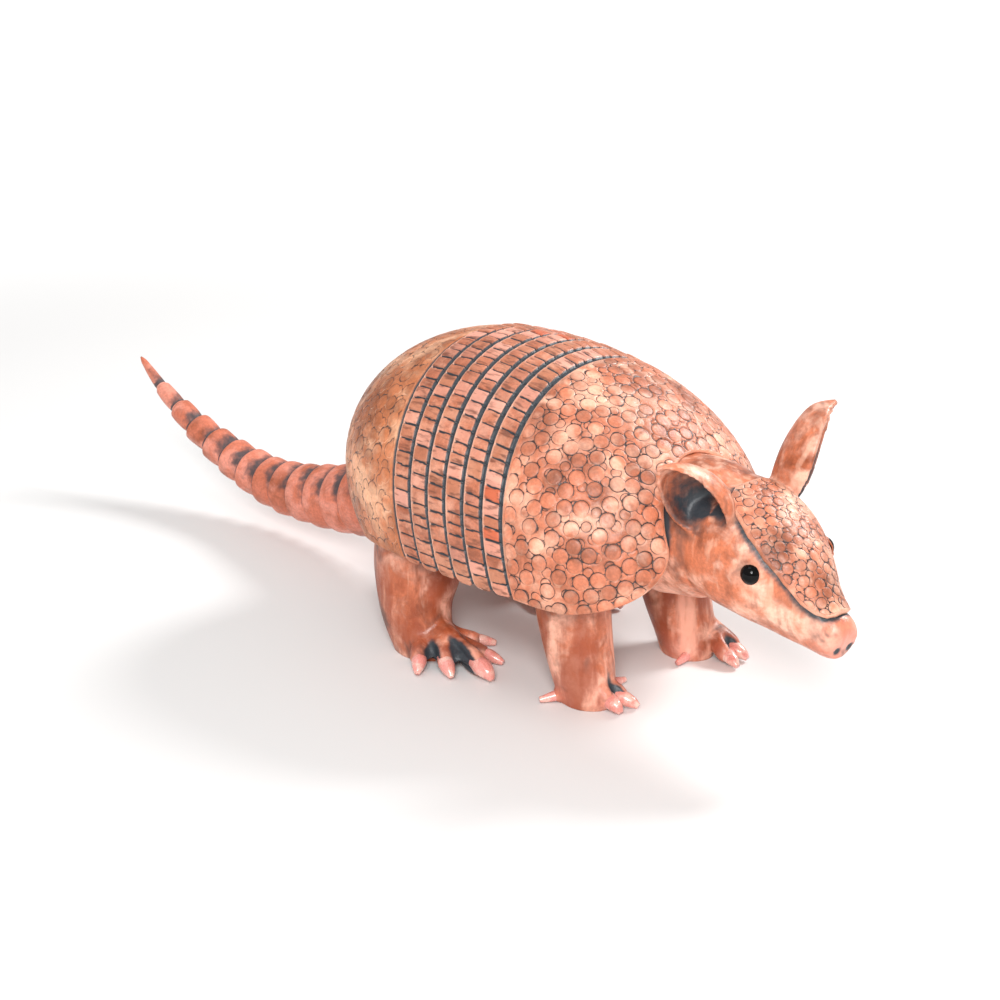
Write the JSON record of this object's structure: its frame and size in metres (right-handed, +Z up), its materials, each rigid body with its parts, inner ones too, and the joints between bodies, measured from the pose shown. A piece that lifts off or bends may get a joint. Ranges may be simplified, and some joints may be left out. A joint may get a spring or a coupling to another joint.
{
  "type": "ceramic armadillo sculpture",
  "caption": "Standing fired-clay armadillo with domed shell shields, laced tile bands, ringed tail, upright ears and clawed feet.",
  "frame": {"origin": "on the floor, under the middle of the whole figure's bounding box", "axes": "+X towards the nose, +Y to the animal's left, +Z up"},
  "size_m": [0.5984, 0.1814, 0.1791],
  "materials": {
    "body_clay": "fired clay rubbed with oxide, satin",
    "shield_clay": "fired clay with stamped rings and slate wash, satin",
    "band_clay": "fired clay tiles with slate wash in the grooves, satin",
    "ring_clay": "fired clay rings with slate wash, satin",
    "claw_glaze": "thin clear glaze, glossy",
    "eye_glaze": "black glaze, mirror gloss"
  },
  "bodies": {
    "root": {"tail_tip": "ring_clay", "tail_ring_11": "ring_clay", "tail_ring_10": "ring_clay", "tail_ring_9": "ring_clay", "tail_ring_8": "ring_clay", "tail_ring_7": "ring_clay", "tail_ring_6": "ring_clay", "tail_ring_5": "ring_clay", "tail_ring_4": "ring_clay", "tail_ring_3": "ring_clay", "tail_ring_2": "ring_clay", "tail_ring_1": "ring_clay", "trunk": "body_clay", "pelvic_shield": "shield_clay", "band_1": "band_clay", "band_2": "band_clay", "band_3": "band_clay", "band_4": "band_clay", "band_5": "band_clay", "band_6": "band_clay", "shoulder_shield": "shield_clay", "eye_right": "eye_glaze", "eye_left": "eye_glaze", "neck": "body_clay", "head": "body_clay", "ear_right": "body_clay", "ear_left": "body_clay", "head_shield": "shield_clay", "hindleg_right": "body_clay", "hindleg_left": "body_clay", "foreleg_right": "body_clay", "foreleg_left": "body_clay", "hindclaw_right_1": "claw_glaze", "hindclaw_right_2": "claw_glaze", "hindclaw_right_3": "claw_glaze", "hindclaw_right_4": "claw_glaze", "hindclaw_right_5": "claw_glaze", "hindclaw_left_1": "claw_glaze", "hindclaw_left_2": "claw_glaze", "hindclaw_left_3": "claw_glaze", "hindclaw_left_4": "claw_glaze", "hindclaw_left_5": "claw_glaze", "foreclaw_right_1": "claw_glaze", "foreclaw_right_2": "claw_glaze", "foreclaw_right_3": "claw_glaze", "foreclaw_right_4": "claw_glaze", "foreclaw_left_1": "claw_glaze", "foreclaw_left_2": "claw_glaze", "foreclaw_left_3": "claw_glaze", "foreclaw_left_4": "claw_glaze"}
  },
  "joints": []
}
